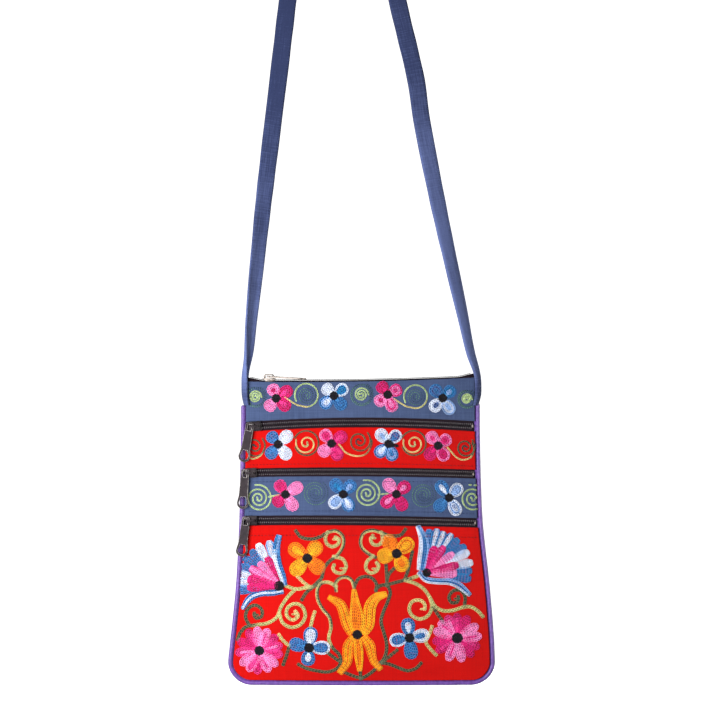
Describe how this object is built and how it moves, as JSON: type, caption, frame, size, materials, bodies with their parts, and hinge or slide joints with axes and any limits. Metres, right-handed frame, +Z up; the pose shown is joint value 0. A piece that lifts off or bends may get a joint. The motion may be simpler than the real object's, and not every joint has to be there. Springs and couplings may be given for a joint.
{
  "type": "embroidered shoulder bag",
  "caption": "Flat embroidered cloth shoulder bag with zipped pockets across the front, a zipped mouth, piped seams and a long cloth strap.",
  "frame": {"origin": "underside of the strap where it hangs over a peg or a shoulder", "axes": "+Z up, +X to the wearer's left as the bag is seen from the front, and the front faces -Y"},
  "size_m": [0.2076, 0.0203, 0.7949],
  "materials": {
    "blue_cloth": "plain woven cotton, slate blue",
    "red_cloth": "plain woven cotton, bright red",
    "purple_piping": "soft satin cord",
    "zip_tape": "woven tape, near black",
    "zip_coil": "nylon coil",
    "gunmetal": "dark plated metal, worn bright at the edges",
    "embroidery_thread": "chain stitch in many colours"
  },
  "bodies": {
    "bag": {"back_panel": "blue_cloth", "top_band": "blue_cloth", "red_band": "red_cloth", "blue_band": "blue_cloth", "main_panel": "red_cloth", "zip_1_tape": "zip_tape", "zip_1_coil": "zip_coil", "zip_1_slider": "gunmetal", "zip_2_tape": "zip_tape", "zip_2_coil": "zip_coil", "zip_2_slider": "gunmetal", "zip_3_tape": "zip_tape", "zip_3_coil": "zip_coil", "zip_3_slider": "gunmetal", "top_zip_tape": "zip_tape", "top_zip_coil": "zip_coil", "top_zip_slider": "gunmetal", "piping": "purple_piping", "strap": "blue_cloth"},
    "zip_1_tab": {"zip_1_pull": "gunmetal"},
    "zip_2_tab": {"zip_2_pull": "gunmetal"},
    "zip_3_tab": {"zip_3_pull": "gunmetal"},
    "top_zip_tab": {"top_zip_pull": "gunmetal"}
  },
  "joints": [
    {"name": "zip_1_swing", "type": "hinge", "parent": "bag", "child": "zip_1_tab", "pos_m": [-0.06171, -0.00568, -0.59074], "axis": [-0.106, -0.9944, 0.0042], "range_deg": [-60, 49]},
    {"name": "zip_2_swing", "type": "hinge", "parent": "bag", "child": "zip_2_tab", "pos_m": [-0.0653, -0.00537, -0.62685], "axis": [-0.1342, -0.9909, 0.0052], "range_deg": [-68, 41]},
    {"name": "zip_3_swing", "type": "hinge", "parent": "bag", "child": "zip_3_tab", "pos_m": [-0.06465, -0.0056, -0.66403], "axis": [-0.1506, -0.9886, 0.0071], "range_deg": [-65, 44]},
    {"name": "top_zip_flip", "type": "hinge", "parent": "bag", "child": "top_zip_tab", "pos_m": [-0.04787, 0, -0.55187], "axis": [0, -1, 0], "range_deg": [0, 100]}
  ]
}
